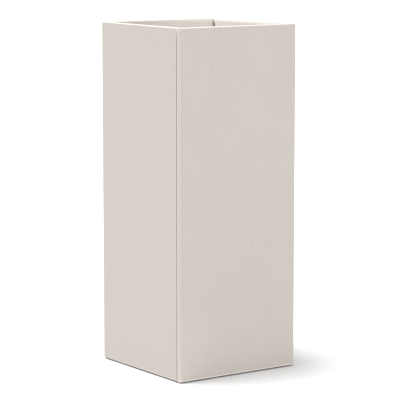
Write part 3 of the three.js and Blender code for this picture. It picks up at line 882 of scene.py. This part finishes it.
def seal_bead():
    """A bead all round the base plate's lower edge."""
    aside, above = SEAL_BEAD_PLACE
    ring = level_loop(PLATE_HIGH.x + aside, PLATE_RADIUS, FLANGE_TOP + above)
    return tube_mesh("seal_bead", ring, SEAL_BEAD_RADIUS, wobble=0.5, seed=3.0, closed=True)


def bond_bead(name, side):
    """A bead up the edge of the joint flange in the rear-right (1) or front-left (-1) corner."""
    aside, off_wall = BOND_BEAD_PLACE
    x = side * (HALF_WIDTH - JOINT_FACE - FLANGE_LEG - aside)
    y = side * (HALF_WIDTH - WALL - off_wall)
    path = straight_path(*(Vector((x, y, z)) for z in BOND_BEAD_SPAN))
    return tube_mesh(name, path, BOND_BEAD_RADIUS, wobble=0.55, seed=11.0 * side)


def ledge_bead(name, place, seed):
    """A bead along a ledge's lower edge, on the wall."""
    above, off_wall = LEDGE_BEAD_PLACE
    low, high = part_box(f"ledge_{place}")
    z = low.z + above
    outwards = 1 if place in ("right", "rear") else -1
    wall = outwards * (HALF_WIDTH - WALL - off_wall)
    if place in ("front", "rear"):
        ends = Vector((-LEDGE_BEAD_REACH, wall, z)), Vector((LEDGE_BEAD_REACH, wall, z))
    else:
        start, end = low.y + LEDGE_BEAD_END, high.y - LEDGE_BEAD_END
        ends = Vector((wall, start, z)), Vector((wall, end, z))
    return tube_mesh(name, straight_path(*ends), LEDGE_BEAD_RADIUS, wobble=0.5, seed=seed)


def putty_beads(material):
    """Squeezed-out putty round the base plate, behind both corner joints and under the ledges."""
    meshes = [seal_bead()]
    meshes.append(bond_bead("bond_bead_rear_right", 1))
    meshes.append(bond_bead("bond_bead_front_left", -1))
    for k, place in enumerate(SIDE_NAMES):
        meshes.append(ledge_bead(f"ledge_bead_{place}", place, 5.0 * k))
    return [finished_object(mesh.name, mesh, material) for mesh in meshes]


# ---------------------------------------------------------------- filled rim joints


def rim_joint_fill(name, side, material):
    """Gelcoat filler, nearly flush, where a corner groove crosses the rim and turns down."""
    top, under, low = HEIGHT - FILL_SINK, HEIGHT - WALL, HEIGHT - FILL_DROP
    outer = HALF_WIDTH - FILL_SINK
    inner = HALF_WIDTH - RIM_WIDTH + FILL_SINK
    back = HALF_WIDTH - JOINT_FACE + FILL_CLEARANCE
    corners = [
        (outer, low, 0.3 * MM),
        (outer, top, 2 * MM),
        (inner, top, 1.5 * MM),
        (inner, under, 0.3 * MM),
        (back, under, 0.1 * MM),
        (back, low, 0.1 * MM),
    ]
    outline = arc_outline(corners)
    faces = (GROOVE_NEAR + FILL_SIDE_CLEARANCE, GROOVE_FAR - FILL_SIDE_CLEARANCE)
    rings = [[(side * x, side * (HALF_WIDTH - face), z) for x, z in outline] for face in faces]
    work = bmesh.new()
    near, far = ([work.verts.new(p) for p in ring] for ring in rings)
    work.faces.new(near)
    work.faces.new(far)
    bridge(work, near, far)
    return finished_object(name, mesh_of(name, work), material)


# ---------------------------------------------------------------- carried-over solids


def dress(node, material, bevel=0.0):
    """A CAD solid's finish, with soft shading, and with eased edges where a bevel is given."""
    solid = NODES[node]
    solid.data.materials.clear()
    solid.data.materials.append(material)
    weld = solid.modifiers.new("weld", "WELD")
    weld.merge_threshold = 0.005 * MM
    if bevel:
        ease = solid.modifiers.new("ease", "BEVEL")
        ease.width = bevel
        ease.segments = 2
        ease.limit_method = "ANGLE"
        ease.angle_limit = math.radians(40)
    solid.modifiers.new("soft_shading", "WEIGHTED_NORMAL")


# ---------------------------------------------------------------- studio


def make_floor():
    mesh = bpy.data.meshes.new("floor")
    half = FLOOR_SIZE / 2
    corners = [(-half, -half, 0), (half, -half, 0), (half, half, 0), (-half, half, 0)]
    mesh.from_pydata(corners, [], [(0, 1, 2, 3)])
    mesh.materials.append(floor_finish())
    floor = bpy.data.objects.new("floor", mesh)
    bpy.context.scene.collection.objects.link(floor)


def add_sun(name, strength, direction, angle):
    lamp = bpy.data.lights.new(name, "SUN")
    lamp.energy = strength
    lamp.angle = angle
    sun = bpy.data.objects.new(name, lamp)
    sun.rotation_mode = "QUATERNION"
    sun.rotation_quaternion = direction.to_track_quat("-Z", "Y")
    bpy.context.scene.collection.objects.link(sun)


def make_light():
    world = bpy.data.worlds.new("studio")
    world.use_nodes = True
    sky = world.node_tree.nodes["Background"]
    sky.inputs["Color"].default_value = (1, 1, 1, 1)
    sky.inputs["Strength"].default_value = SKY_STRENGTH
    bpy.context.scene.world = world
    add_sun("key", KEY_STRENGTH, KEY_DIRECTION, KEY_ANGLE)
    add_sun("fill", FILL_STRENGTH, FILL_DIRECTION, FILL_ANGLE)


def make_camera():
    lens = bpy.data.cameras.new("photo_camera")
    lens.sensor_width = SENSOR
    lens.lens = FOCAL_PIXELS / PHOTO_PIXELS * SENSOR
    lens.clip_start = 0.1
    lens.clip_end = 2 * FLOOR_SIZE
    camera = bpy.data.objects.new("photo_camera", lens)
    level = math.cos(CAMERA_PITCH)
    east, north = math.sin(CAMERA_YAW) * level, math.cos(CAMERA_YAW) * level
    ahead = Vector((east, north, -math.sin(CAMERA_PITCH)))
    camera.rotation_mode = "QUATERNION"
    camera.rotation_quaternion = ahead.to_track_quat("-Z", "Y")
    camera.location = CAMERA_PLACE
    bpy.context.scene.collection.objects.link(camera)
    bpy.context.scene.camera = camera


# ---------------------------------------------------------------- the whole

make_floor()
make_light()
make_camera()
bpy.context.scene.view_settings.view_transform = "Standard"

front_coat = gelcoat_and_laminate(
    "front_gelcoat", FRONT_UNEVENNESS_AND_HIGHLIGHT, FRONT_LIP_PAINTED_LIGHT, FRONT_FOOT_PAINTED_LIGHT
)
rear_coat = gelcoat_and_laminate("rear_gelcoat", REAR_UNEVENNESS_AND_HIGHLIGHT, REAR_LIP_PAINTED_LIGHT, REAR_FOOT_PAINTED_LIGHT)
laminate = bare_laminate()
filler = putty()
black_rubber = rubber()
steel = zinc_steel()
plastic = shelf_plastic()

dress("front_shell", front_coat)
dress("rear_shell", rear_coat)
dress("base_plate", laminate)
for side_name in SIDE_NAMES:
    dress(f"ledge_{side_name}", laminate)
for filler_name in ("bond_front_left", "bond_rear_right", "base_seal"):
    dress(filler_name, filler)
dress("planting_shelf", plastic, 0.4 * MM)

fixed = putty_beads(filler)
fixed.append(rim_joint_fill("rim_fill_front_left", -1, rear_coat))
fixed.append(rim_joint_fill("rim_fill_rear_right", 1, front_coat))
for corner_name in CORNER_NAMES:
    fixed.append(rubber_foot(corner_name, black_rubber))
    fixed.append(foot_bolt(corner_name, steel))
    fixed.append(foot_washer(corner_name, steel))
    fixed.append(foot_nut(corner_name, steel))
for fixed_piece in fixed:
    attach(fixed_piece, "planter")
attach(drain_plug(black_rubber), "plug")
